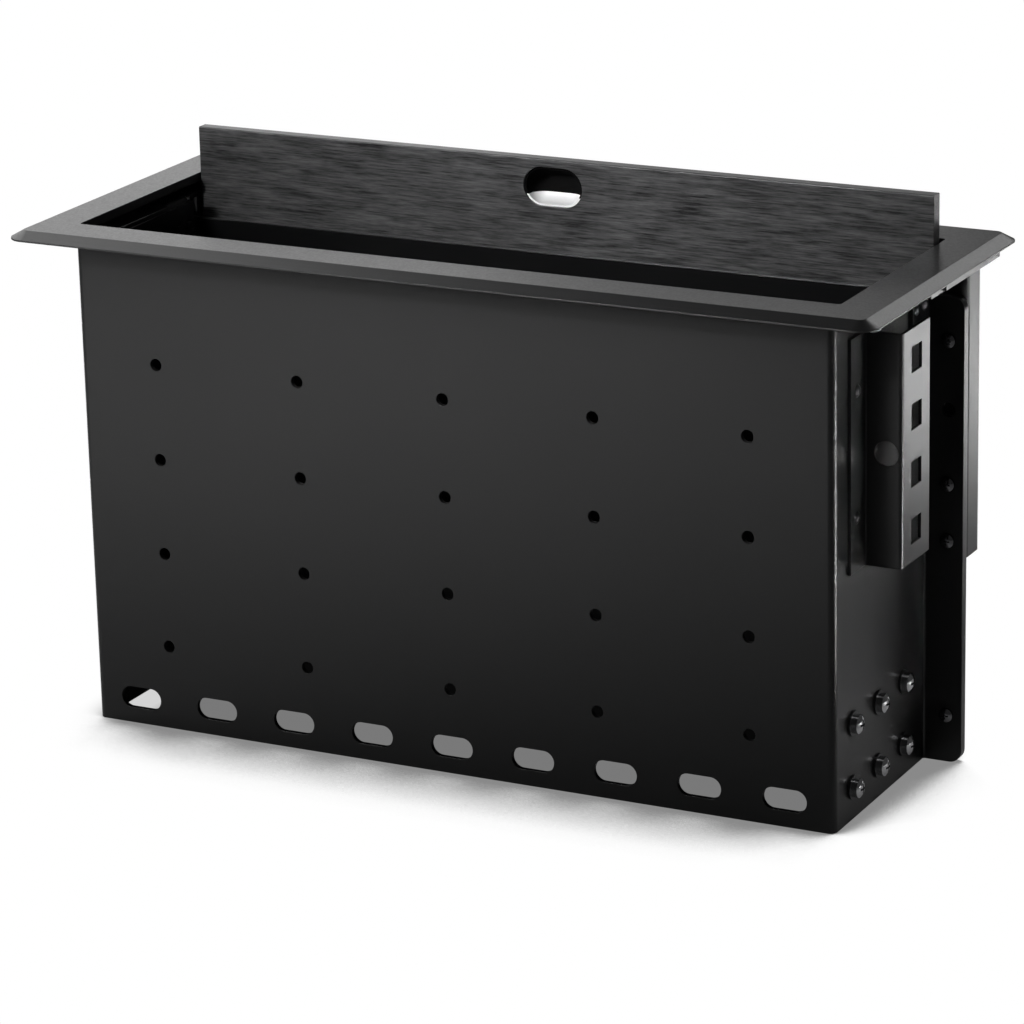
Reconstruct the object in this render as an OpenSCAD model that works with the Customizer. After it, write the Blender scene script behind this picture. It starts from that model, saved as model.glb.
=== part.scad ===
// Table connectivity box: a drop-in sheet steel box with a bevelled bezel,
// a lid that slides up out of a rear pocket, and a clamp rail on each end.
// X runs along the length, Y from the front to the back, Z up from the floor.

/* [Body] */
// Length of the folded body over its end panels
body_l = 326; // [316:1:380]
// Depth from the front face to the front of the rear flanges
body_d = 89.5; // [86:0.5:130]
// Height of the front panel, up to the underside of the bezel
body_h = 203; // [199:1:240]
// Thickness of the sheet steel
sheet = 2; // [1.5:0.1:2.4]
// Outside radius of every fold
bend_r = 3; // [2.8:0.1:4]
// Reach of the rear flanges beyond the end panels
flange_w = 16; // [15:0.5:24]
// Drop from the bezel to the top of the rear flanges and the rear panel
flange_drop = 13.5; // [10:0.5:17]
// Rounding of the flange corners
flange_corner_r = 5; // [2:0.5:8]

/* [Front panel] */
// Diameter of the cable tie holes
hole_d = 5; // [3:0.1:8]
// Columns of cable tie holes
hole_cols = 5; // [3:1:5]
// Rows of cable tie holes
hole_rows = 4; // [2:1:4]
// Distance between columns
hole_pitch_x = 64; // [40:1:70]
// Distance between rows
hole_pitch_z = 39.4; // [25:0.2:44]
// Height of the lowest row
hole_low_z = 35.2; // [26:0.2:45]
// Number of cable slots along the bottom edge
slot_count = 9; // [3:1:9]
// Distance between cable slots
slot_pitch = 35.6; // [24:0.2:36]
// Length of a cable slot
slot_l = 18.4; // [12:0.2:20]
// Width of a cable slot
slot_w = 9; // [5:0.5:11]
// Height of the middle of the cable slots
slot_z = 11; // [8:0.5:14]

/* [Lid pocket] */
// Depth of the pocket behind the rear panel
pocket_d = 15.5; // [14.5:0.5:24]
// Depth of the pocket floor below the bezel
pocket_h = 119.5; // [103:0.5:143]
// Step of the pocket sides inside the flange edges
pocket_inset = 0.5; // [0:0.1:2]
// Width of the pocket lips that meet the rear panel
pocket_lip = 13; // [12:0.5:14]

/* [Bezel] */
// Thickness of the bezel plate
bezel_t = 3.5; // [2.5:0.1:6]
// Upright edge below the bevel
bezel_land = 0.6; // [0.3:0.1:1]
// Width of the bevel
bevel_w = 5.2; // [2:0.1:5.6]
// Rounding of the outer corners
bezel_corner_r = 8; // [6:0.5:12]
// Reach of the bezel in front of the body
bezel_front = 17.5; // [15:0.5:40]
// Reach of the bezel behind the pocket
bezel_back = 24.5; // [16:0.5:40]
// Reach of the bezel beyond the flange edges
bezel_end = 6; // [5:0.5:20]
// Distance of the opening behind the front face of the body
opening_set = 5; // [3:0.5:10]
// Rounding of the corners of the opening
opening_r = 1.5; // [0.5:0.1:3]
// Reach of the folded seats that the bezel is screwed to
seat_reach = 12; // [10:0.5:14]
// Distance of the ends of the seats from the body ends
seat_inset = 13; // [10:1:30]
// Distance of the outer seat screws from the ends of the seats
seat_screw_inset = 30; // [10:1:60]

/* [Lid] */
// Thickness of the lid
lid_t = 5.5; // [5:0.1:6]
// Chamfer along the long edges of the lid
lid_edge = 0.4; // [0.1:0.1:1]
// Height of the stowed lid above the top of the bezel
lid_rise = 19.5; // [18.5:0.5:26]
// Gap between the rear panel and the stowed lid
lid_front_gap = 5; // [4:0.1:5.5]
// Diameter of the guide pins
pin_d = 3.6; // [3:0.1:3.7]
// Height of the pins above the lower edge of the lid
pin_up = 5; // [4:0.5:10]
// Reach of the pins beyond the ends of the lid
pin_reach = 6; // [4:0.5:7]
// Length of each pin inside the lid
pin_root = 10; // [6:0.5:20]

/* [Finger cup] */
// Length of the finger hole
cup_l = 26; // [20:0.5:40]
// Height of the finger hole
cup_h = 16; // [12:0.5:16]
// Depth of the finger cup
cup_depth = 9.5; // [9:0.1:10]
// Wall of the finger cup
cup_wall = 0.8; // [0.6:0.1:1.5]
// Metal left above the finger hole
cup_top = 3.3; // [2.5:0.1:6]
// Height of the bright lip in the bottom of the cup
lip_h = 4.3; // [3:0.1:6]
// Distance of the rim of the cup behind the face of the lid
rim_set = 0.8; // [0.2:0.1:1.4]

/* [Lid tracks] */
// Height of the gap in which the pins run forward under the bezel
track_gap = 4; // [3.9:0.1:5]
// Width of the narrow front stretch of a track plate
track_w = 15; // [14:0.5:16]
// Width of the bars between the track plates and the bezel
bar_w = 5.5; // [5:0.1:6]
// Step of the outer edge of the bars inside the bezel ends
bar_inset = 0.5; // [0.3:0.1:2]
// Height of the plastic guides below the lowest pin position
guide_foot = 9; // [6:0.5:20]
// Depth of the pin groove beyond the end of the opening
groove_d = 7; // [6.8:0.1:7.5]
// Thickness of the rubber pads that the pins rest on
pad_t = 3; // [2:0.5:4]
// Height of the riveted leg of a track plate
leg_h = 20; // [16:0.5:24]
// Length of a track plate behind its narrow front stretch, within the body
track_notch = 19.5; // [18:0.5:24]

/* [Clamp rails] */
// Drop from the bezel to the upper end of a rail
rail_drop = 12; // [8:0.5:40]
// Length of a rail
rail_h = 91.5; // [88:0.5:96]
// Thickness of a rail
rail_t = 1.2; // [1:0.1:2]
// Distance of a rail behind the front face of the body
rail_y = 13; // [8:0.5:15]
// Width of the foot that is riveted to the end panel
rail_foot = 15.2; // [14:0.2:17]
// Width of the pierced outer strip
rail_strip = 27; // [24:0.5:29]
// Side of the square clamp holes
clamp_hole = 10; // [8:0.5:12]
// Number of square clamp holes
clamp_count = 4; // [2:1:4]
// Distance between the square clamp holes
clamp_pitch = 22.4; // [16:0.2:23]
// Diameter of the round hole in the web
web_hole_d = 10; // [6:0.5:10]

/* [Fasteners] */
// Columns of screws low on each end panel
end_cols = 3; // [2:1:3]
// Rows of screws low on each end panel
end_rows = 2; // [1:1:2]
// Distance between the end screw columns
end_pitch_y = 25.3; // [18:0.1:27]
// Distance between the end screw rows
end_pitch_z = 25.9; // [16:0.1:30]
// Distance of the first end screw behind the front face
end_first_y = 17.5; // [14:0.5:22]
// Height of the lowest end screws
end_low_z = 13.2; // [8:0.2:20]
// Thread size of the end screws
end_screw_d = 4; // [3:0.5:4]
// Height of the heads of the end screws
end_head_h = 3.8; // [2.6:0.1:4.4]
// Thread size of the smaller screws
screw_d = 3; // [2.5:0.1:3]
// Body diameter of the rivets
rivet_d = 3.2; // [2.4:0.1:3.6]
// Diameter of the spare hole in each flange
spare_hole_d = 6; // [4:0.5:8]
// Height of the lowest flange screws
low_screw_z = 19.5; // [10:0.5:60]
// Distance of the other flange screws from the pocket floor and the flange top
flange_screw_edge = [8, 17.5];

/* [Hidden] */
$fn = 48;

// Clearances
fit_gap = 0.1;      // screw and rivet bodies in their holes
run_gap = 0.2;      // pins in their grooves
rest_gap = 0.3;     // soft pads from what they carry
end_gap = 0.5;      // opening beyond the body ends
lid_gap = 0.75;     // lid ends from the opening
cut = 1;            // extra length of a cutter beyond its wall

// Depths, front to back
bezel_d = bezel_front + body_d + 2 * sheet + pocket_d + bezel_back;
front_y = bezel_front - bezel_d / 2;
flange_y = front_y + body_d;
panel_y = flange_y + sheet;
pocket_y = panel_y + sheet;
pocket_end = pocket_y + pocket_d;
lid_y = pocket_y + lid_front_gap;
pin_y = lid_y + lid_t / 2;
opening_y = front_y + opening_set;

// Half lengths
wall_x = body_l / 2;
flange_x = wall_x + flange_w;
pocket_x = flange_x - pocket_inset;
opening_x = wall_x + end_gap;
lid_x = opening_x - lid_gap;
track_x = pocket_x;

// Bezel
bezel_l = 2 * (flange_x + bezel_end);
opening_d = pocket_end + end_gap - opening_y;
bezel_top = body_h + bezel_t;

// Heights
flange_h = body_h - flange_drop;
pocket_z = body_h - pocket_h;
track_top = body_h - track_gap;
end_h = track_top - sheet;
lid_top = bezel_top + lid_rise;
lid_h = opening_d - 2 * end_gap;
lid_z = lid_top - lid_h;
pin_z = lid_z + pin_up;
lid_travel = body_h - track_gap / 2 - pin_z;
pad_z = pin_z - pin_d / 2 - rest_gap - pad_t;
guide_z = pad_z - guide_foot;

// Finger cup
cup_r = cup_h / 2;
cup_z = lid_top - cup_top - cup_r;
lip_z = cup_z - cup_r + lip_h;
cup_half = (cup_l - cup_h) / 2;
cup_y = lid_y + cup_depth - cup_r;

// Folded seats that carry the bezel
seat_half = wall_x - seat_inset;
rear_seat_half = opening_x - end_gap;
seat_screw_x = seat_half - seat_screw_inset;
seat_screw_y = (seat_reach + sheet) / 2;

// Track plate outline, measured back from the front face
track_start = 2 * bend_r + end_gap;
track_wide = rail_y + rail_foot + rail_strip + rail_t;
track_step = body_d - track_notch;
leg_start = track_step + sheet;
leg_end = body_d + sheet - bend_r - end_gap;
track_end = pocket_end - front_y;
groove_x = opening_x + groove_d;
groove_w = pin_d + 2 * run_gap;
bar_x = groove_x + bar_w;
bar_start = -bend_r;
bar_end = track_end + bend_r;
track_back = pin_y + groove_w / 2;

// Rails
rail_web_y = rail_y + rail_foot - rail_t;
rail_bend_r = 1.5 * rail_t;
rail_z = body_h - rail_drop - rail_h;
rail_out_x = flange_x;
clamp_low_z = rail_z + (rail_h - (clamp_count - 1) * clamp_pitch) / 2;
clamp_y = front_y + rail_web_y + (rail_strip + cut) / 2;
flange_screw_x = wall_x + flange_w * 0.6;
web_hole_z = rail_z + rail_h / 2 - cut;
rail_rivet_y = front_y + rail_y + (rail_foot - bend_r) / 2;
rail_rivet_z = [rail_z + 0.23 * rail_h, rail_z + 0.77 * rail_h];

// Flange fasteners; the spare hole lies behind the hole in the web of the rail
pocket_screw_low = pocket_z + flange_screw_edge[0];
pocket_screw_span = flange_h - flange_screw_edge[1] - pocket_screw_low;
pocket_screw_z = [for (share = [0, 0.285, 1]) pocket_screw_low + share * pocket_screw_span];
flange_screw_z = concat([low_screw_z], pocket_screw_z);

// Remaining fasteners
leg_edge = 1.25 * rivet_d;
track_rivet_z = track_top - leg_h + 2 * leg_edge;
track_rivets = [for (y = [leg_start + leg_edge, leg_end - leg_edge]) [front_y + y, track_rivet_z]];
track_screws = [for (y = [track_start + 2 * screw_d, track_wide + 2 * screw_d, leg_end - leg_edge])
    [bar_x - bar_w / 2, front_y + y]];
guide_screw_x = groove_x + screw_d;
guide_screw_z = [guide_z + 4 * screw_d, end_h - 4 * screw_d];
guide_screw_bite = 2 * screw_d;
bezel_bite = bezel_t - cut;
flat_head = 0.93;
nut_h = 2.4;
end_nut_h = 3.2;
washer_t = 0.8;
felt_h = 12;
felt_z = flange_h - felt_h - 6;
felt_half = lid_x - 20;

// Colours
steel_black = "#242426";
anodised_black = "#3a3a3b";
brushed_black = "#48484a";
bright_metal = "#d9dadb";
zinc = "#b4b6b8";
acetal = "#1b1b1c";
rubber_black = "#161616";
felt_grey = "#3c3c3c";

// Shared shapes

module along_x(x0, x1) translate([x0, 0, 0]) rotate([90, 0, 90]) linear_extrude(x1 - x0) children();

module along_y(y0, y1) translate([0, y1, 0]) rotate([90, 0, 0]) linear_extrude(y1 - y0) children();

module both_sides() {
    children();
    mirror([1, 0, 0]) children();
}

module left_side() mirror([1, 0, 0]) children();

module rounded_rect(l, d, r) {
    square([l, d - 2 * r], center = true);
    square([l - 2 * r, d], center = true);
    for (x = [-1, 1], y = [-1, 1]) translate([x * (l / 2 - r), y * (d / 2 - r)]) circle(r);
}

module obround(l, w) {
    square([l - w, w], center = true);
    for (x = [-1, 1]) translate([x * (l - w) / 2, 0]) circle(w / 2);
}

// What a rounding of radius r takes off one quadrant around its centre
module round_off(at, turn, r) translate(at) rotate(turn) difference() {
    square(r + cut);
    circle(r);
}

// An upright wall whose top edge is folded over towards +x; its outer corner is at the origin
module turned_edge(wall, reach, t = sheet, r = bend_r) {
    centre = [r - t, -r];
    difference() {
        union() {
            translate([-t, -wall]) square([t, wall]);
            translate([-t, -t]) square([t + reach, t]);
            translate(centre) rotate(90) difference() {
                square(r - t / 2);
                circle(r - t);
            }
        }
        round_off(centre, 90, r);
    }
}

// A rectangle from y = 0 with its two front corners rounded
module round_front(l, d, r) {
    translate([-l / 2, r]) square([l, d - r]);
    translate([r - l / 2, 0]) square([l - 2 * r, d]);
    for (x = [-1, 1]) translate([x * (l / 2 - r), r]) circle(r);
}

// Pan head screw along -Z from the seat of its head, with a cross recess
module pan_screw(d, length, rise = 0.65) {
    head_r = 0.95 * d;
    head_h = rise * d;
    dome_h = 0.35 * d;
    dome_r = (head_r * head_r + dome_h * dome_h) / (2 * dome_h);
    difference() {
        intersection() {
            cylinder(r = head_r, h = head_h);
            translate([0, 0, head_h - dome_r]) sphere(dome_r);
        }
        for (a = [0, 90]) rotate(a) translate([-d / 2, -d / 9, head_h - 0.4 * d]) cube([d, d / 4.5, d]);
    }
    translate([0, 0, -length]) cylinder(d = d, h = length + 0.2);
}

// Countersunk screw along -Z from the flush face of its head, with a cross recess
module flat_screw(d, length) {
    head_h = flat_head * d - d / 2;
    difference() {
        translate([0, 0, -head_h]) cylinder(r1 = d / 2, r2 = flat_head * d, h = head_h);
        for (a = [0, 90]) rotate(a) translate([-d / 2, -d / 9, -0.25 * d]) cube([d, d / 4.5, d]);
    }
    translate([0, 0, -length]) cylinder(d = d, h = length - head_h + 0.2);
}

// The countersunk hole that it needs in one sheet
module flat_hole(d) {
    head_h = flat_head * d - d / 2;
    through_sheet(d);
    translate([0, 0, -head_h]) cylinder(r1 = d / 2 + fit_gap, r2 = flat_head * d + fit_gap, h = head_h);
    cylinder(r = flat_head * d + fit_gap, h = cut);
}

// Domed blind rivet along -Z with its upset tail
module rivet(d, grip) {
    head_r = 0.8 * d;
    dome_h = 0.35 * d;
    dome_r = (head_r * head_r + dome_h * dome_h) / (2 * dome_h);
    intersection() {
        translate([0, 0, dome_h - dome_r]) sphere(dome_r);
        cylinder(r = d, h = d);
    }
    translate([0, 0, -grip - 0.2]) cylinder(d = d, h = grip + 0.4);
    translate([0, 0, -grip - 0.5 * d]) cylinder(r = 0.7 * d, h = 0.5 * d);
}

module hex_nut(d, h) difference() {
    cylinder(r = 0.95 * d, h = h, $fn = 6);
    translate([0, 0, -cut]) cylinder(d = d + 2 * fit_gap, h = h + 2 * cut);
}

// Where each group of fasteners sits

module at_end_screws() for (i = [0:end_cols - 1], j = [0:end_rows - 1])
    translate([wall_x, front_y + end_first_y + i * end_pitch_y, end_low_z + j * end_pitch_z])
        rotate([0, 90, 0]) children();

module at_flange_screws(heights) for (z = heights)
    translate([flange_screw_x, flange_y, z]) rotate([90, 0, 0]) children();

module at_rail_rivets() for (z = rail_rivet_z)
    translate([wall_x + rail_t, rail_rivet_y, z]) rotate([0, 90, 0]) children();

module at_track_rivets() for (p = track_rivets)
    translate([wall_x + sheet, p[0], p[1]]) rotate([0, 90, 0]) children();

module at_guide_screws() for (z = guide_screw_z)
    translate([guide_screw_x, pocket_end, z]) rotate([-90, 0, 0]) children();

module at_track_screws() for (p = track_screws) translate([p[0], p[1], end_h]) rotate([180, 0, 0]) children();

module at_seat_screws() for (x = [-1, 0, 1], y = [front_y - seat_screw_y, pocket_end + seat_screw_y])
    translate([x * seat_screw_x, y, body_h - sheet]) rotate([180, 0, 0]) children();

// Bezel and lid

module bevelled_plate() {
    flat_l = bezel_l / 2 - bezel_corner_r;
    flat_d = bezel_d / 2 - bezel_corner_r;
    module section(half) polygon([[-half, 0], [half, 0], [half, bezel_land], [half - bevel_w, bezel_t],
        [bevel_w - half, bezel_t], [-half, bezel_land]]);
    along_x(-flat_l, flat_l) section(bezel_d / 2);
    along_y(-flat_d, flat_d) section(bezel_l / 2);
    for (x = [-1, 1], y = [-1, 1]) translate([x * flat_l, y * flat_d, 0]) {
        cylinder(r = bezel_corner_r, h = bezel_land);
        translate([0, 0, bezel_land])
            cylinder(r1 = bezel_corner_r, r2 = bezel_corner_r - bevel_w, h = bezel_t - bezel_land);
    }
}

module bezel_frame() color(anodised_black) difference() {
    translate([0, 0, body_h]) bevelled_plate();
    translate([0, opening_y + opening_d / 2, body_h - cut])
        linear_extrude(bezel_t + 2 * cut) rounded_rect(2 * opening_x, opening_d, opening_r);
    translate([0, 0, track_gap + sheet]) both_sides() at_track_screws() bezel_pilot();
    translate([0, 0, sheet]) at_seat_screws() bezel_pilot();
}

module bezel_pilot() translate([0, 0, -bezel_bite - fit_gap])
    cylinder(d = screw_d + 2 * fit_gap, h = bezel_bite + fit_gap + cut);

module lid_panel() color(brushed_black) difference() {
    along_x(-lid_x, lid_x) polygon([
        [lid_y + lid_edge, lid_z], [lid_y + lid_t - lid_edge, lid_z],
        [lid_y + lid_t, lid_z + lid_edge], [lid_y + lid_t, lid_top - lid_edge],
        [lid_y + lid_t - lid_edge, lid_top], [lid_y + lid_edge, lid_top],
        [lid_y, lid_top - lid_edge], [lid_y, lid_z + lid_edge]]);
    along_y(lid_y - cut, lid_y + lid_t + cut) translate([0, cup_z]) obround(cup_l, cup_h);
    both_sides() translate([lid_x - pin_root - fit_gap, pin_y, pin_z]) rotate([0, 90, 0])
        cylinder(d = pin_d + 2 * fit_gap, h = pin_root + fit_gap + cut);
}

// A scoop with a rounded floor, grown from the finger hole by the given step
module scoop(step) {
    r = cup_r + step;
    along_x(-cup_half, cup_half) translate([cup_y, cup_z]) circle(r);
    for (x = [-1, 1]) translate([x * cup_half, cup_y, cup_z]) sphere(r);
    along_y(lid_y, cup_y) translate([0, cup_z]) obround(cup_l + 2 * step, cup_h + 2 * step);
}

module cup_shell() difference() {
    scoop(-fit_gap);
    scoop(-fit_gap - cup_wall);
    translate([-cup_l, lid_y + rim_set - cup_l, cup_z - cup_l]) cube([2 * cup_l, cup_l, 2 * cup_l]);
}

// The black upper part of the cup
module finger_cup() color(anodised_black) difference() {
    cup_shell();
    translate([-cup_l, lid_y - cut, lip_z - cup_l]) cube([2 * cup_l, cup_l, cup_l]);
}

// The bright lower part, on which the fingertip pulls
module finger_lip() color(bright_metal) difference() {
    cup_shell();
    translate([-cup_l, lid_y - cut, lip_z]) cube([2 * cup_l, cup_l, cup_l]);
}

module lid_pins() color(zinc) both_sides()
    translate([lid_x - pin_root, pin_y, pin_z]) rotate([0, 90, 0])
        cylinder(d = pin_d, h = pin_root + pin_reach);

// Body

// Front panel and the first stretch of both end panels, as one folded channel
module channel(depth) translate([0, front_y]) difference() {
    round_front(body_l, depth, bend_r);
    translate([0, sheet]) round_front(body_l - 2 * sheet, depth, bend_r - sheet);
}

module body_walls() {
    linear_extrude(body_h - bend_r) channel(2 * bend_r);
    linear_extrude(end_h) channel(body_d + sheet - bend_r);
    linear_extrude(flange_h) both_sides()
        translate([wall_x, panel_y]) turned_edge(2 * bend_r + sheet, flange_w);
    along_x(-seat_half, seat_half) translate([front_y, body_h]) mirror([1, 0])
        turned_edge(2 * bend_r + sheet, seat_reach);
}

module body_shell() color(steel_black) difference() {
    body_walls();
    both_sides() along_y(flange_y - cut, panel_y + cut) {
        round_off([flange_x - flange_corner_r, flange_corner_r], -90, flange_corner_r);
        round_off([flange_x - flange_corner_r, flange_h - flange_corner_r], 0, flange_corner_r);
    }
    along_y(front_y - cut, front_y + sheet + cut) front_holes();
    both_sides() end_holes();
    at_seat_screws() flat_hole(screw_d);
}

module front_holes() {
    for (i = [0:hole_cols - 1], j = [0:hole_rows - 1])
        translate([(i - (hole_cols - 1) / 2) * hole_pitch_x, hole_low_z + j * hole_pitch_z])
            circle(d = hole_d);
    for (i = [0:slot_count - 1])
        translate([(i - (slot_count - 1) / 2) * slot_pitch, slot_z]) obround(slot_l, slot_w);
}

module end_holes() {
    at_end_screws() through_sheet(end_screw_d);
    translate([-rail_t, 0, 0]) at_rail_rivets() through_sheet(rivet_d);
    translate([-sheet, 0, 0]) at_track_rivets() through_sheet(rivet_d);
    at_flange_screws(flange_screw_z) through_sheet(screw_d);
    at_flange_screws([web_hole_z]) through_sheet(spare_hole_d - 2 * fit_gap);
}

// Clearance hole for a fastener, from its seat through one sheet
module through_sheet(d) translate([0, 0, -sheet - cut]) cylinder(d = d + 2 * fit_gap, h = sheet + 2 * cut);

module rear_panel() color(steel_black) difference() {
    along_y(panel_y, pocket_y) translate([0, flange_h / 2])
        rounded_rect(2 * flange_x, flange_h, flange_corner_r);
    both_sides() translate([0, sheet, 0]) {
        at_flange_screws(flange_screw_z) through_sheet(screw_d);
        at_flange_screws([web_hole_z]) through_sheet(spare_hole_d - 2 * fit_gap);
    }
}

module pocket_plan(step) translate([0, pocket_y + pocket_d / 2])
    rounded_rect(2 * (pocket_x - step), pocket_d - 2 * step, bend_r - step);

module lid_pocket() color(steel_black) difference() {
    union() {
        translate([0, 0, pocket_z]) linear_extrude(end_h - pocket_z) difference() {
            pocket_plan(0);
            pocket_plan(sheet);
            translate([-pocket_x + pocket_lip, pocket_y - cut])
                square([2 * (pocket_x - pocket_lip), 2 * sheet]);
        }
        translate([0, 0, pocket_z]) linear_extrude(sheet) pocket_plan(0);
        along_x(-rear_seat_half, rear_seat_half) translate([pocket_end, body_h])
            turned_edge(body_h - end_h + bend_r, seat_reach);
    }
    both_sides() translate([0, 2 * sheet, 0]) at_flange_screws(pocket_screw_z) through_sheet(screw_d);
    both_sides() at_guide_screws() through_sheet(screw_d);
    at_seat_screws() flat_hole(screw_d);
}

// Lid guides, pads and felt

module lid_guide() difference() {
    translate([opening_x, pocket_y + sheet, guide_z])
        cube([pocket_x - bend_r - opening_x, pocket_d - 2 * sheet, end_h - guide_z]);
    translate([opening_x - cut, pin_y - groove_w / 2, pad_z])
        cube([groove_d + cut, groove_w, end_h - pad_z + cut]);
    at_guide_screws() translate([0, 0, -sheet - guide_screw_bite - fit_gap])
        cylinder(d = screw_d + 2 * fit_gap, h = guide_screw_bite + fit_gap + cut);
    at_flange_screws(pocket_screw_z) translate([0, 0, -3 * sheet - nut_h - 2])
        cylinder(r = 1.25 * screw_d, h = nut_h + 2 + cut);
}

module right_lid_guide() color(acetal) lid_guide();

module left_lid_guide() color(acetal) left_side() lid_guide();

module pin_rest_pads() color(rubber_black) both_sides()
    translate([opening_x + run_gap, pin_y - pin_d / 2, pad_z])
        cube([groove_d - run_gap, pin_d, pad_t]);

module front_felt_strip() color(felt_grey) translate([-felt_half, pocket_y, felt_z])
    cube([2 * felt_half, lid_front_gap - rest_gap, felt_h]);

module rear_felt_strip() color(felt_grey) translate([-felt_half, lid_y + lid_t + rest_gap, felt_z])
    cube([2 * felt_half, pocket_end - sheet - lid_y - lid_t - rest_gap, felt_h]);

// Track plates

module track_outline() translate([0, front_y]) {
    translate([wall_x - sheet, track_start]) square([track_w, track_step - track_start]);
    translate([wall_x + bend_r, track_wide])
        square([track_x - wall_x - bend_r, track_end - track_wide]);
    translate([opening_x, leg_end + sheet]) square([track_x - opening_x, track_end - leg_end - sheet]);
}

module track_plate() difference() {
    union() {
        translate([0, 0, end_h]) linear_extrude(sheet) track_outline();
        along_y(front_y + leg_start, front_y + leg_end) translate([wall_x + sheet, track_top])
            turned_edge(leg_h, track_x - wall_x - sheet);
    }
    translate([opening_x - cut, pin_y - groove_w / 2, end_h - cut])
        cube([groove_d + cut, groove_w, sheet + 2 * cut]);
    at_track_rivets() through_sheet(rivet_d);
    at_track_screws() through_sheet(screw_d);
}

module right_track_plate() color(steel_black) track_plate();

module left_track_plate() color(steel_black) left_side() track_plate();

module track_rivet_set() at_track_rivets() rivet(rivet_d, 2 * sheet);

module right_track_rivets() color(steel_black) track_rivet_set();

module left_track_rivets() color(steel_black) left_side() track_rivet_set();

// Bar between a track plate and the bezel, with a strip that shows below the end of the bezel
// and a return that closes the track behind the pins
module track_bar() difference() {
    union() {
        translate([opening_x, track_back, track_top])
            cube([groove_d, front_y + bar_end - track_back, track_gap]);
        translate([groove_x, front_y + bar_start, track_top]) cube([bar_w, bar_end - bar_start, track_gap]);
        translate([groove_x, front_y + track_wide, body_h - sheet])
            cube([bezel_l / 2 - bar_inset - groove_x, bar_end - track_wide, sheet]);
    }
    at_track_screws() translate([0, 0, -sheet - track_gap - cut])
        cylinder(d = screw_d + 2 * fit_gap, h = track_gap + 2 * cut);
}

module right_track_bar() color(anodised_black) track_bar();

module left_track_bar() color(anodised_black) left_side() track_bar();

module bezel_screws() color(zinc) both_sides() at_track_screws()
    pan_screw(screw_d, sheet + track_gap + bezel_bite);

module seat_screws() color(zinc) at_seat_screws() flat_screw(screw_d, sheet + bezel_bite);

// Clamp rails

module rail_plan() {
    overlap = (flange_w - 2 * rail_t) / 2 + cut;
    translate([wall_x + rail_t, front_y + rail_web_y + rail_t])
        turned_edge(rail_foot, overlap, rail_t, rail_bend_r);
    translate([rail_out_x - rail_t, front_y + rail_web_y]) rotate(180)
        turned_edge(rail_strip, overlap, rail_t, rail_bend_r);
}

module clamp_rail() difference() {
    translate([0, 0, rail_z]) linear_extrude(rail_h) rail_plan();
    along_x(rail_out_x - rail_t - cut, rail_out_x + cut) for (i = [0:clamp_count - 1])
        translate([clamp_y, clamp_low_z + i * clamp_pitch]) square(clamp_hole, center = true);
    translate([flange_screw_x, front_y + rail_web_y - cut, web_hole_z]) rotate([-90, 0, 0])
        cylinder(d = web_hole_d, h = rail_t + 2 * cut);
    at_rail_rivets() through_sheet(rivet_d);
}

module right_clamp_rail() color(steel_black) clamp_rail();

module left_clamp_rail() color(steel_black) left_side() clamp_rail();

module rail_rivet_set() at_rail_rivets() rivet(rivet_d, rail_t + sheet);

module right_rail_rivets() color(zinc) rail_rivet_set();

module left_rail_rivets() color(zinc) left_side() rail_rivet_set();

// End screws, washers and nuts

module end_screw_set() at_end_screws() translate([0, 0, washer_t])
    pan_screw(end_screw_d, washer_t + sheet + end_nut_h + 1, end_head_h / end_screw_d);

module right_end_screws() color(steel_black) end_screw_set();

module left_end_screws() color(steel_black) left_side() end_screw_set();

module end_washer_set() at_end_screws() difference() {
    cylinder(r = 1.2 * end_screw_d, h = washer_t);
    translate([0, 0, -cut]) cylinder(d = end_screw_d + 2 * fit_gap, h = washer_t + 2 * cut);
}

module right_end_washers() color(steel_black) end_washer_set();

module left_end_washers() color(steel_black) left_side() end_washer_set();

module end_nut_set() at_end_screws() translate([0, 0, -sheet - end_nut_h]) hex_nut(end_screw_d, end_nut_h);

module right_end_nuts() color(zinc) end_nut_set();

module left_end_nuts() color(zinc) left_side() end_nut_set();

// Flange screws and nuts

module flange_screw_set() {
    at_flange_screws([low_screw_z]) pan_screw(screw_d, 2 * sheet + nut_h + 1);
    at_flange_screws(pocket_screw_z) pan_screw(screw_d, 3 * sheet + nut_h + 0.5);
}

module right_flange_screws() color(zinc) flange_screw_set();

module left_flange_screws() color(zinc) left_side() flange_screw_set();

module flange_nut_set() {
    at_flange_screws([low_screw_z]) translate([0, 0, -2 * sheet - nut_h]) hex_nut(screw_d, nut_h);
    at_flange_screws(pocket_screw_z) translate([0, 0, -3 * sheet - nut_h]) hex_nut(screw_d, nut_h);
}

module right_flange_nuts() color(zinc) flange_nut_set();

module left_flange_nuts() color(zinc) left_side() flange_nut_set();

module guide_screws() color(zinc) both_sides() at_guide_screws() pan_screw(screw_d, sheet + guide_screw_bite);

bezel_frame();
lid_panel();
finger_cup();
finger_lip();
lid_pins();
body_shell();
rear_panel();
lid_pocket();
left_lid_guide();
right_lid_guide();
pin_rest_pads();
front_felt_strip();
rear_felt_strip();
left_track_plate();
right_track_plate();
left_track_rivets();
right_track_rivets();
left_track_bar();
right_track_bar();
bezel_screws();
seat_screws();
left_clamp_rail();
right_clamp_rail();
left_rail_rivets();
right_rail_rivets();
left_end_screws();
right_end_screws();
left_end_washers();
right_end_washers();
left_end_nuts();
right_end_nuts();
left_flange_screws();
right_flange_screws();
left_flange_nuts();
right_flange_nuts();
guide_screws();
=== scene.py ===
"""Table connectivity box: finishes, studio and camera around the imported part. Lengths in metres."""
import math

import bpy
from mathutils import Matrix, Vector

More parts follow.
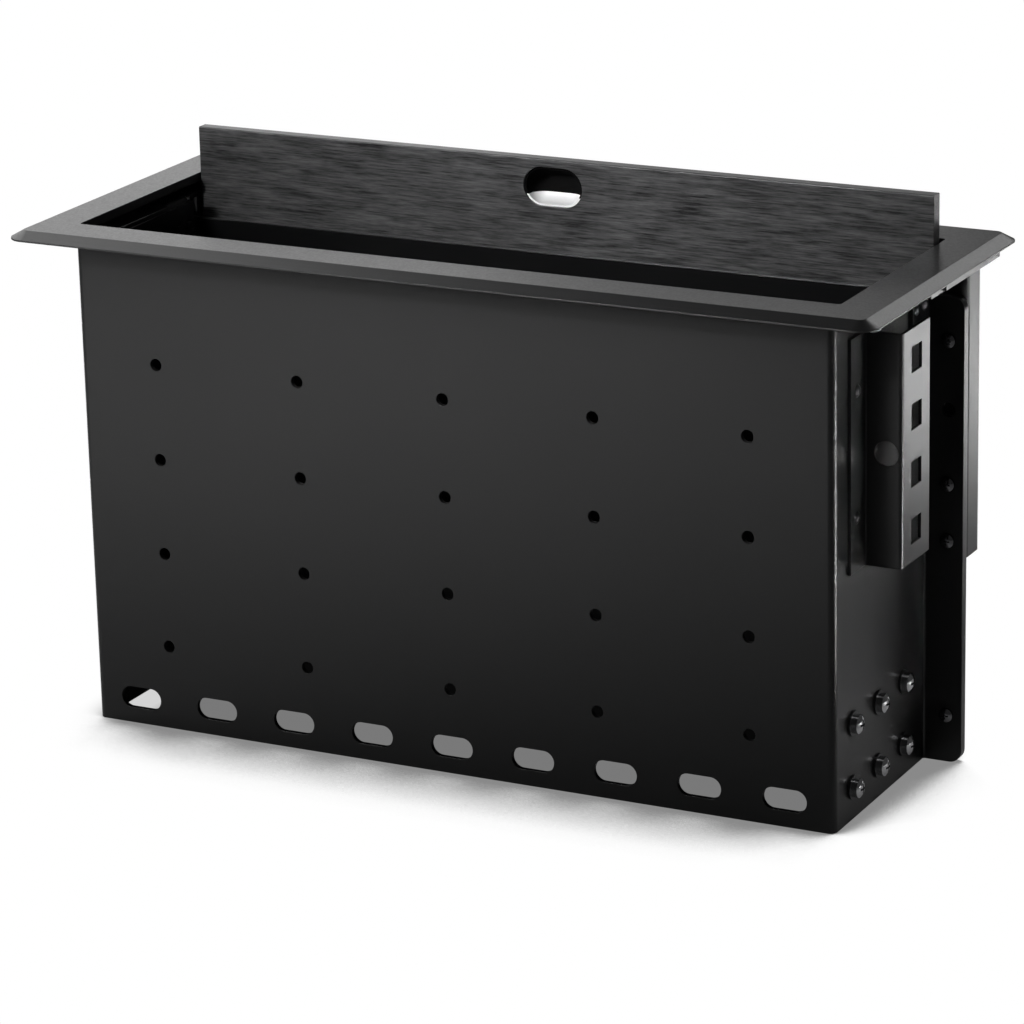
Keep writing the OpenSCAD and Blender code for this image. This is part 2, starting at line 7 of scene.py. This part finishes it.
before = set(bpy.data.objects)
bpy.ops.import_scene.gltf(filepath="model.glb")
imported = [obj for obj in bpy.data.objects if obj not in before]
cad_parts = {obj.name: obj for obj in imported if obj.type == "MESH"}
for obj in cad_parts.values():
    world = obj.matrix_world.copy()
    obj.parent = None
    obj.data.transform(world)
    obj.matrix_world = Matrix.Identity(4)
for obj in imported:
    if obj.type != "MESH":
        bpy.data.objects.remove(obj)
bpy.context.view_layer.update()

MM = 0.001


# Shared helpers

def linear(hex_colour):
    """Turns an sRGB hex colour into the linear RGBA values that the shaders take."""
    channels = [int(hex_colour[i:i + 2], 16) / 255 for i in (1, 3, 5)]
    rgb = [c / 12.92 if c <= 0.04045 else ((c + 0.055) / 1.055) ** 2.4 for c in channels]
    return rgb + [1.0]


def add(tree, kind, inputs=None, **settings):
    """Adds a node with its settings, and gives each input a value or a link by name or number."""
    made = tree.nodes.new(kind)
    for name, value in settings.items():
        setattr(made, name, value)
    for name, value in (inputs or {}).items():
        if isinstance(value, bpy.types.NodeSocket):
            tree.links.new(value, made.inputs[name])
        else:
            made.inputs[name].default_value = value
    return made


def per_metre(size_mm):
    """The texture scale that gives one pattern cell this size, in object coordinates."""
    return 1.0 / (size_mm * MM)


def new_material(name):
    """A material with an empty node tree; returns both."""
    material = bpy.data.materials.new(name)
    material.use_nodes = True
    material.node_tree.nodes.clear()
    return material, material.node_tree


# Finishes

def powder_coated_steel(name, rough_min, rough_max, rough_recess, ior):
    """Sheet steel with a baked black powder coat: a fine orange peel breaks up its soft gloss."""
    material, tree = new_material(name)
    place = add(tree, "ShaderNodeTexCoord").outputs["Object"]
    # The coat runs round the sheared edges in a radius of about 0.5 mm, which catches the light.
    edge = add(tree, "ShaderNodeBevel", {"Radius": 0.5 * MM}, samples=6)
    # The peel of a powder coat is about 1.2 mm wide; slow clouds show uneven film thickness.
    peel = add(tree, "ShaderNodeTexNoise", {
        "Vector": place, "Scale": per_metre(1.2), "Detail": 2.0})
    clouds = add(tree, "ShaderNodeTexNoise", {
        "Vector": place, "Scale": per_metre(60), "Detail": 3.0})
    tint = add(tree, "ShaderNodeMix", {
        "Factor": clouds.outputs["Fac"],
        "A": linear("#080809"), "B": linear("#0c0c0d")}, data_type="RGBA")
    gloss = add(tree, "ShaderNodeMapRange", {
        "Value": clouds.outputs["Fac"], "To Min": rough_min, "To Max": rough_max})
    # Powder is drawn to edges and kept out of inner corners, so the coat is dull in a recess.
    # The ground that the box stands on makes no recess, so the lowest 20 to 40 mm are left out.
    open_air = add(tree, "ShaderNodeAmbientOcclusion", {"Distance": 40 * MM}, samples=8)
    height = add(tree, "ShaderNodeSeparateXYZ", {"Vector": place}).outputs["Z"]
    low = add(tree, "ShaderNodeMapRange", {
        "Value": height, "From Min": 20 * MM, "From Max": 40 * MM,
        "To Min": 1.0, "To Max": 0.0})
    clear = add(tree, "ShaderNodeMath", {
        0: open_air.outputs["AO"], 1: low.outputs["Result"]}, operation="MAXIMUM")
    film = add(tree, "ShaderNodeMapRange", {
        "Value": clear.outputs["Value"], "From Min": 0.4, "From Max": 0.8,
        "To Min": rough_recess, "To Max": gloss.outputs["Result"]})
    relief = add(tree, "ShaderNodeBump", {
        "Height": peel.outputs["Fac"], "Strength": 0.10, "Distance": 0.04 * MM,
        "Normal": edge.outputs["Normal"]})
    shader = add(tree, "ShaderNodeBsdfPrincipled", {
        "Base Color": tint.outputs["Result"], "Roughness": film.outputs["Result"],
        "Normal": relief.outputs["Normal"], "IOR": ior})
    add(tree, "ShaderNodeOutputMaterial", {"Surface": shader.outputs["BSDF"]})
    return material


def anodised_bezel_aluminium():
    """Aluminium, satin etched and dyed black: a fine grain with faint draw lines.

    The dyed oxide is glassy, not metallic.
    """
    material, tree = new_material("anodised_bezel_aluminium")
    place = add(tree, "ShaderNodeTexCoord").outputs["Object"]
    # The deburred edges have a radius of about 0.3 mm, which catches the light.
    edge = add(tree, "ShaderNodeBevel", {"Radius": 0.3 * MM}, samples=6)
    # The etch leaves a grain of about 0.9 mm.
    grain = add(tree, "ShaderNodeTexNoise", {
        "Vector": place, "Scale": per_metre(0.9), "Detail": 3.0})
    # Draw lines 0.8 mm apart and about 60 mm long.
    line_space = add(tree, "ShaderNodeMapping", {
        "Vector": place, "Scale": (per_metre(60), per_metre(0.8), per_metre(0.8))})
    lines = add(tree, "ShaderNodeTexNoise", {
        "Vector": line_space.outputs["Vector"], "Scale": 1.0, "Detail": 2.0})
    tint = add(tree, "ShaderNodeMix", {
        "Factor": lines.outputs["Fac"],
        "A": linear("#080809"), "B": linear("#1c1c1d")}, data_type="RGBA")
    gloss = add(tree, "ShaderNodeMapRange", {
        "Value": grain.outputs["Fac"], "To Min": 0.23, "To Max": 0.46})
    relief = add(tree, "ShaderNodeBump", {
        "Height": grain.outputs["Fac"], "Strength": 0.12, "Distance": 0.02 * MM,
        "Normal": edge.outputs["Normal"]})
    shader = add(tree, "ShaderNodeBsdfPrincipled", {
        "Base Color": tint.outputs["Result"], "Roughness": gloss.outputs["Result"],
        "Normal": relief.outputs["Normal"], "IOR": 1.6})
    add(tree, "ShaderNodeOutputMaterial", {"Surface": shader.outputs["BSDF"]})
    return material


def brushed_lid_aluminium():
    """Aluminium plate brushed lengthwise and anodised black: fine streaks, light and dark, partly
    painted sheen.
    """
    material, tree = new_material("brushed_lid_aluminium")
    place = add(tree, "ShaderNodeTexCoord").outputs["Object"]
    # The edges are broken to a radius of about 0.4 mm.
    edge = add(tree, "ShaderNodeBevel", {"Radius": 0.4 * MM}, samples=6)
    # Strokes 10 mm long. A real one is 0.1 mm wide and is drawn 0.6 mm wide, so that it shows.
    fine_space = add(tree, "ShaderNodeMapping", {
        "Vector": place, "Scale": (per_metre(10), per_metre(0.6), per_metre(0.6))})
    fine = add(tree, "ShaderNodeTexNoise", {
        "Vector": fine_space.outputs["Vector"], "Scale": 1.0, "Detail": 4.0, "Roughness": 0.65})
    # The strokes gather in bands about 24 mm long and 4 mm wide.
    broad_space = add(tree, "ShaderNodeMapping", {
        "Vector": place, "Scale": (per_metre(24), per_metre(4), per_metre(4))})
    broad = add(tree, "ShaderNodeTexNoise", {
        "Vector": broad_space.outputs["Vector"], "Scale": 1.0, "Detail": 2.0})
    both = add(tree, "ShaderNodeMix", {
        "Factor": 0.3, "A": fine.outputs["Fac"], "B": broad.outputs["Fac"]}, data_type="FLOAT")
    streaks = add(tree, "ShaderNodeMapRange", {
        "Value": both.outputs["Result"], "From Min": 0.36, "From Max": 0.64})
    # The grey of the light streaks is partly the brushing's own tone and partly painted sheen, the
    # light that a brushed face spreads.
    tint = add(tree, "ShaderNodeMix", {
        "Factor": streaks.outputs["Result"],
        "A": linear("#1c1c1d"), "B": linear("#666667")}, data_type="RGBA")
    gloss = add(tree, "ShaderNodeMapRange", {
        "Value": streaks.outputs["Result"], "To Min": 0.30, "To Max": 0.46})
    relief = add(tree, "ShaderNodeBump", {
        "Height": streaks.outputs["Result"], "Strength": 0.15, "Distance": 0.03 * MM,
        "Normal": edge.outputs["Normal"]})
    shader = add(tree, "ShaderNodeBsdfPrincipled", {
        "Base Color": tint.outputs["Result"], "Roughness": gloss.outputs["Result"],
        "Normal": relief.outputs["Normal"], "Metallic": 0.35})
    add(tree, "ShaderNodeOutputMaterial", {"Surface": shader.outputs["BSDF"]})
    return material


def lip_aluminium_painted_highlight():
    """Pressed aluminium, bead-blasted and clear anodised: a milky skin that spreads the light, partly
    painted highlight.
    """
    material, tree = new_material("lip_aluminium_painted_highlight")
    place = add(tree, "ShaderNodeTexCoord").outputs["Object"]
    # The beads leave dimples of about 0.5 mm.
    grain = add(tree, "ShaderNodeTexNoise", {
        "Vector": place, "Scale": per_metre(0.5), "Detail": 2.0})
    # Near white: partly the metal's own pale tone, partly a painted highlight for the lit floor of
    # the finger cup.
    tint = add(tree, "ShaderNodeMix", {
        "Factor": grain.outputs["Fac"],
        "A": linear("#eeeeef"), "B": linear("#fafafa")}, data_type="RGBA")
    gloss = add(tree, "ShaderNodeMapRange", {
        "Value": grain.outputs["Fac"], "To Min": 0.45, "To Max": 0.55})
    shader = add(tree, "ShaderNodeBsdfPrincipled", {
        "Base Color": tint.outputs["Result"], "Roughness": gloss.outputs["Result"],
        "Metallic": 0.25})
    add(tree, "ShaderNodeOutputMaterial", {"Surface": shader.outputs["BSDF"]})
    return material


def plated_steel(name, dark, light, metallic, rough_min, rough_max):
    """Cold-headed steel with a plated or oxidised skin: small cloudy patches in its gloss."""
    material, tree = new_material(name)
    place = add(tree, "ShaderNodeTexCoord").outputs["Object"]
    # The patches are about 1.5 mm across.
    patches = add(tree, "ShaderNodeTexNoise", {
        "Vector": place, "Scale": per_metre(1.5), "Detail": 3.0})
    tint = add(tree, "ShaderNodeMix", {
        "Factor": patches.outputs["Fac"],
        "A": linear(dark), "B": linear(light)}, data_type="RGBA")
    gloss = add(tree, "ShaderNodeMapRange", {
        "Value": patches.outputs["Fac"], "To Min": rough_min, "To Max": rough_max})
    shader = add(tree, "ShaderNodeBsdfPrincipled", {
        "Base Color": tint.outputs["Result"], "Roughness": gloss.outputs["Result"],
        "Metallic": metallic})
    add(tree, "ShaderNodeOutputMaterial", {"Surface": shader.outputs["BSDF"]})
    return material


def dull_polymer(name, dark, light, cell_mm, roughness, relief_mm, sheen, ior):
    """Matte moulded, pressed or flocked stuff: one grain gives both its colour and its relief."""
    material, tree = new_material(name)
    place = add(tree, "ShaderNodeTexCoord").outputs["Object"]
    grain = add(tree, "ShaderNodeTexNoise", {
        "Vector": place, "Scale": per_metre(cell_mm), "Detail": 4.0})
    tint = add(tree, "ShaderNodeMix", {
        "Factor": grain.outputs["Fac"],
        "A": linear(dark), "B": linear(light)}, data_type="RGBA")
    relief = add(tree, "ShaderNodeBump", {
        "Height": grain.outputs["Fac"], "Strength": 0.4, "Distance": relief_mm * MM})
    shader = add(tree, "ShaderNodeBsdfPrincipled", {
        "Base Color": tint.outputs["Result"], "Roughness": roughness,
        "Normal": relief.outputs["Normal"], "Sheen Weight": sheen, "IOR": ior})
    add(tree, "ShaderNodeOutputMaterial", {"Surface": shader.outputs["BSDF"]})
    return material


# Coats: least and most roughness in the open, roughness in a recess, IOR
satin_coat = powder_coated_steel("satin_powder_coated_steel", 0.28, 0.34, 1.0, 1.52)
matte_coat = powder_coated_steel("matte_powder_coated_steel", 0.30, 0.36, 1.0, 1.46)
# The flat sheets at the opening are coated before they are fitted, so their coat is even.
even_coat = powder_coated_steel("even_powder_coated_steel", 0.26, 0.32, 0.34, 1.52)

bezel_finish = anodised_bezel_aluminium()
lid_finish_and_painted_sheen = brushed_lid_aluminium()
lip_finish_painted_highlight = lip_aluminium_painted_highlight()

# Skins of screws, rivets and nuts: dark and light tone, metallic, least and most roughness
zinc = plated_steel("zinc_plated_steel", "#8f9193", "#b9bbbd", 1.0, 0.26, 0.40)
black_zinc = plated_steel("black_plated_steel", "#1d1d1e", "#2e2e30", 0.5, 0.24, 0.36)
nickel = plated_steel("nickel_plated_steel", "#a4a4a6", "#d2d2d4", 1.0, 0.12, 0.22)
black_oxide = plated_steel("black_oxide_steel", "#5c5c5e", "#808082", 1.0, 0.12, 0.22)

# Dull stuff: dark and light tone, grain in mm, roughness, relief in mm, sheen, IOR
acetal = dull_polymer("moulded_acetal", "#121213", "#19191a", 0.8, 0.45, 0.02, 0.0, 1.48)
rubber = dull_polymer("moulded_rubber", "#0f0f0f", "#171717", 0.5, 0.8, 0.03, 0.0, 1.52)
felt = dull_polymer("pressed_felt", "#1e1e1e", "#3a3a3a", 0.6, 0.95, 0.2, 0.3, 1.5)
# The finger cup is lined with short flocking. Its near-black, dull tone is partly the lining's own
# and partly painted shade for the cup's upper half.
cup_lining_painted_shade = dull_polymer("cup_lining_with_painted_shade", "#040404", "#080808", 0.4, 0.95, 0.05, 0.0, 1.2)

FINISHES = {
    "bezel_frame": bezel_finish,
    "lid_panel": lid_finish_and_painted_sheen,
    "body_shell": matte_coat, "lid_pocket": matte_coat,
    "left_clamp_rail": satin_coat, "right_clamp_rail": satin_coat,
    "rear_panel": even_coat,
    "left_track_plate": even_coat, "right_track_plate": even_coat,
    "left_track_bar": even_coat, "right_track_bar": even_coat,
    "finger_cup": cup_lining_painted_shade, "finger_lip": lip_finish_painted_highlight,
    "lid_pins": zinc, "bezel_screws": zinc, "seat_screws": zinc, "guide_screws": zinc,
    "left_end_nuts": zinc, "right_end_nuts": zinc,
    "left_flange_nuts": zinc, "right_flange_nuts": zinc,
    "left_flange_screws": black_oxide, "right_flange_screws": black_oxide,
    "left_end_screws": nickel, "right_end_screws": nickel,
    "left_end_washers": black_zinc, "right_end_washers": black_zinc,
    "left_rail_rivets": black_zinc, "right_rail_rivets": black_zinc,
    "left_track_rivets": black_zinc, "right_track_rivets": black_zinc,
    "left_lid_guide": acetal, "right_lid_guide": acetal,
    "pin_rest_pads": rubber,
    "front_felt_strip": felt, "rear_felt_strip": felt,
}
for name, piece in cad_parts.items():
    piece.data.materials.clear()
    piece.data.materials.append(FINISHES[name])


# Studio

FLOOR_SIZE = 6.0
FLOOR_DROP = 0.2 * MM  # keeps the sheet clear of the foot of the box
SHADOW_REACH = 80 * MM
# The ground inside the walls of the box
WALLED_HALF_X = 162 * MM
WALLED_MIDDLE_Y, WALLED_HALF_Y = -11.5 * MM, 46 * MM


def pale_floor():
    """A matte white sheet, plain white to the camera, with a painted shadow at the box's foot and
    within its walls.
    """
    bpy.ops.mesh.primitive_plane_add(size=FLOOR_SIZE, location=(0, 0, -FLOOR_DROP))
    floor = bpy.context.object
    floor.name = "studio_floor"
    material, tree = new_material("matte_white_sheet")
    place = add(tree, "ShaderNodeSeparateXYZ", {
        "Vector": add(tree, "ShaderNodeTexCoord").outputs["Object"]})
    # The light comes from the left, so no shadow lies beyond the left end.
    near = add(tree, "ShaderNodeAmbientOcclusion", {"Distance": SHADOW_REACH}, samples=16)
    lee = add(tree, "ShaderNodeMapRange", {
        "Value": place.outputs["X"], "From Min": -180 * MM, "From Max": -150 * MM,
        "To Min": 1.0, "To Max": 0.25}, interpolation_type="SMOOTHSTEP")
    # The right end stands in the back light, so its corner with the flange is not shaded twice.
    back_lit = add(tree, "ShaderNodeMapRange", {
        "Value": place.outputs["X"], "From Min": 160 * MM, "From Max": 180 * MM,
        "To Min": 0.0, "To Max": 0.13})
    clear = add(tree, "ShaderNodeMath", {
        0: near.outputs["AO"], 1: back_lit.outputs["Result"]}, operation="ADD")
    # The shadow at the foot is painted, from the ground's occlusion and the masks above.
    foot = add(tree, "ShaderNodeMapRange", {
        "Value": clear.outputs["Value"], "From Min": 0.56, "From Max": 0.82,
        "To Min": lee.outputs["Result"]}, interpolation_type="SMOOTHSTEP")
    # Inside the walls, the ground has painted light and shade: light by the left end, grey behind the
    # other slots of the front, and black at the rear.
    front = add(tree, "ShaderNodeMapRange", {
        "Value": place.outputs["X"], "From Min": -150 * MM, "From Max": -135 * MM,
        "To Min": 0.65, "To Max": 0.19})
    inside_painted_shade = add(tree, "ShaderNodeMapRange", {
        "Value": place.outputs["Y"], "From Min": -15 * MM, "From Max": 5 * MM,
        "To Min": front.outputs["Result"], "To Max": 0.002})
    between_ends = add(tree, "ShaderNodeMath", {
        0: place.outputs["X"], 1: 0.0, 2: WALLED_HALF_X}, operation="COMPARE")
    behind_front = add(tree, "ShaderNodeMath", {
        0: place.outputs["Y"], 1: WALLED_MIDDLE_Y, 2: WALLED_HALF_Y}, operation="COMPARE")
    walled = add(tree, "ShaderNodeMath", {
        0: between_ends.outputs["Value"], 1: behind_front.outputs["Value"]}, operation="MULTIPLY")
    shade = add(tree, "ShaderNodeMix", {
        "Factor": walled.outputs["Value"],
        "A": foot.outputs["Result"], "B": inside_painted_shade.outputs["Result"]}, data_type="FLOAT")
    seen = add(tree, "ShaderNodeEmission", {
        "Color": linear("#ffffff"), "Strength": shade.outputs["Result"]})
    matte = add(tree, "ShaderNodeBsdfDiffuse", {"Color": linear("#e4e4e4")})
    above = add(tree, "ShaderNodeMixShader", {
        "Fac": add(tree, "ShaderNodeLightPath").outputs["Is Camera Ray"],
        1: matte.outputs["BSDF"], 2: seen.outputs["Emission"]})
    # From below, the sheet lets the underside of the box be seen.
    below = add(tree, "ShaderNodeBsdfTransparent")
    sheet = add(tree, "ShaderNodeMixShader", {
        "Fac": add(tree, "ShaderNodeNewGeometry").outputs["Backfacing"],
        1: above.outputs["Shader"], 2: below.outputs["BSDF"]})
    add(tree, "ShaderNodeOutputMaterial", {"Surface": sheet.outputs["Shader"]})
    floor.data.materials.append(material)


def studio_world():
    """White behind the object for the camera, a soft grey room for its light and reflections."""
    world = bpy.data.worlds.new("studio_room")
    bpy.context.scene.world = world
    world.use_nodes = True
    tree = world.node_tree
    tree.nodes.clear()
    strength = add(tree, "ShaderNodeMapRange", {
        "Value": add(tree, "ShaderNodeLightPath").outputs["Is Camera Ray"],
        "To Min": 0.06, "To Max": 1.0})
    room = add(tree, "ShaderNodeBackground", {
        "Color": linear("#ffffff"), "Strength": strength.outputs["Result"]})
    add(tree, "ShaderNodeOutputWorld", {"Surface": room.outputs["Background"]})


def softbox(name, place, aim, width, height, radiance, spread):
    """A rectangular soft light of the given brightness, turned to the point it lights."""
    lamp = bpy.data.lights.new(name, "AREA")
    lamp.shape = "RECTANGLE"
    lamp.size, lamp.size_y = width, height
    lamp.energy = radiance * math.pi * width * height
    lamp.spread = math.radians(spread)
    holder = bpy.data.objects.new(name, lamp)
    bpy.context.scene.collection.objects.link(holder)
    holder.visible_camera = False
    holder.location = place
    holder.rotation_euler = (Vector(aim) - Vector(place)).to_track_quat("-Z", "Y").to_euler()


# Name, place, aim, width, height, radiance, spread in degrees
LAMPS = [
    # Soft light from the upper left and from behind
    ("upper_left_softbox", (-1.05, 0.22, 1.04), (0, 0, 0.1), 0.8, 0.8, 2.5, 180),
    ("back_left_softbox", (-1.1, 1.15, 0.6), (0, 0, 0.2), 0.9, 0.7, 1.5, 180),
    ("back_card", (-0.47, 1.2, 0.55), (0, 0, 0.2), 0.40, 0.6, 0.60, 180),
    ("back_right_softbox", (0.38, 1.3, 0.95), (0.1, 0, 0.2), 0.6, 0.5, 2.4, 180),
    # Lit patches of floor, which the glossy walls mirror
    ("back_floor_lamp", (0.450, 0.617, 0.7), (0.455, 0.626, 0), 0.08, 0.4, 16.5, 28),
    ("right_floor_lamp", (0.72, 0.178, 0.45), (0.729, 0.182, 0), 0.10, 0.74, 36.0, 14),
    ("end_floor_lamp", (0.26, 0.03, 0.30), (0.205, 0.03, 0), 0.2, 0.06, 0.34, 24),
    ("front_floor_lamp", (-0.58, -0.89, 0.51), (-0.37, -0.71, 0), 0.67, 0.67, 2.65, 64),
    ("rear_floor_lamp", (-0.42, 0.48, 0.75), (-0.42, 0.49, 0), 0.5, 0.6, 2.6, 50),
    # A narrow light on the face of the lid
    ("lid_grid_light", (-0.45, -1.2, 1.0), (0, 0.045, 0.30), 0.3, 0.2, 2.7, 20),
]

pale_floor()
studio_world()
for lamp_row in LAMPS:
    softbox(*lamp_row)


# Camera, at the viewing angle of the photograph

def photo_camera():
    """The photograph's viewpoint: a long lens, ahead and to the right, a little above."""
    place = (0.78793, -1.53481, 0.64071)
    turn, lift, roll = 27.198, 17.672, -1.342
    lens = bpy.data.cameras.new("photo_camera")
    lens.sensor_width = 36.0
    lens.lens = 159.64
    camera = bpy.data.objects.new("photo_camera", lens)
    bpy.context.scene.collection.objects.link(camera)
    camera.matrix_world = (Matrix.Translation(place)
                           @ Matrix.Rotation(math.radians(turn), 4, "Z")
                           @ Matrix.Rotation(math.radians(90 - lift), 4, "X")
                           @ Matrix.Rotation(math.radians(roll), 4, "Z"))
    bpy.context.scene.camera = camera


photo_camera()
bpy.context.scene.view_settings.view_transform = "Standard"
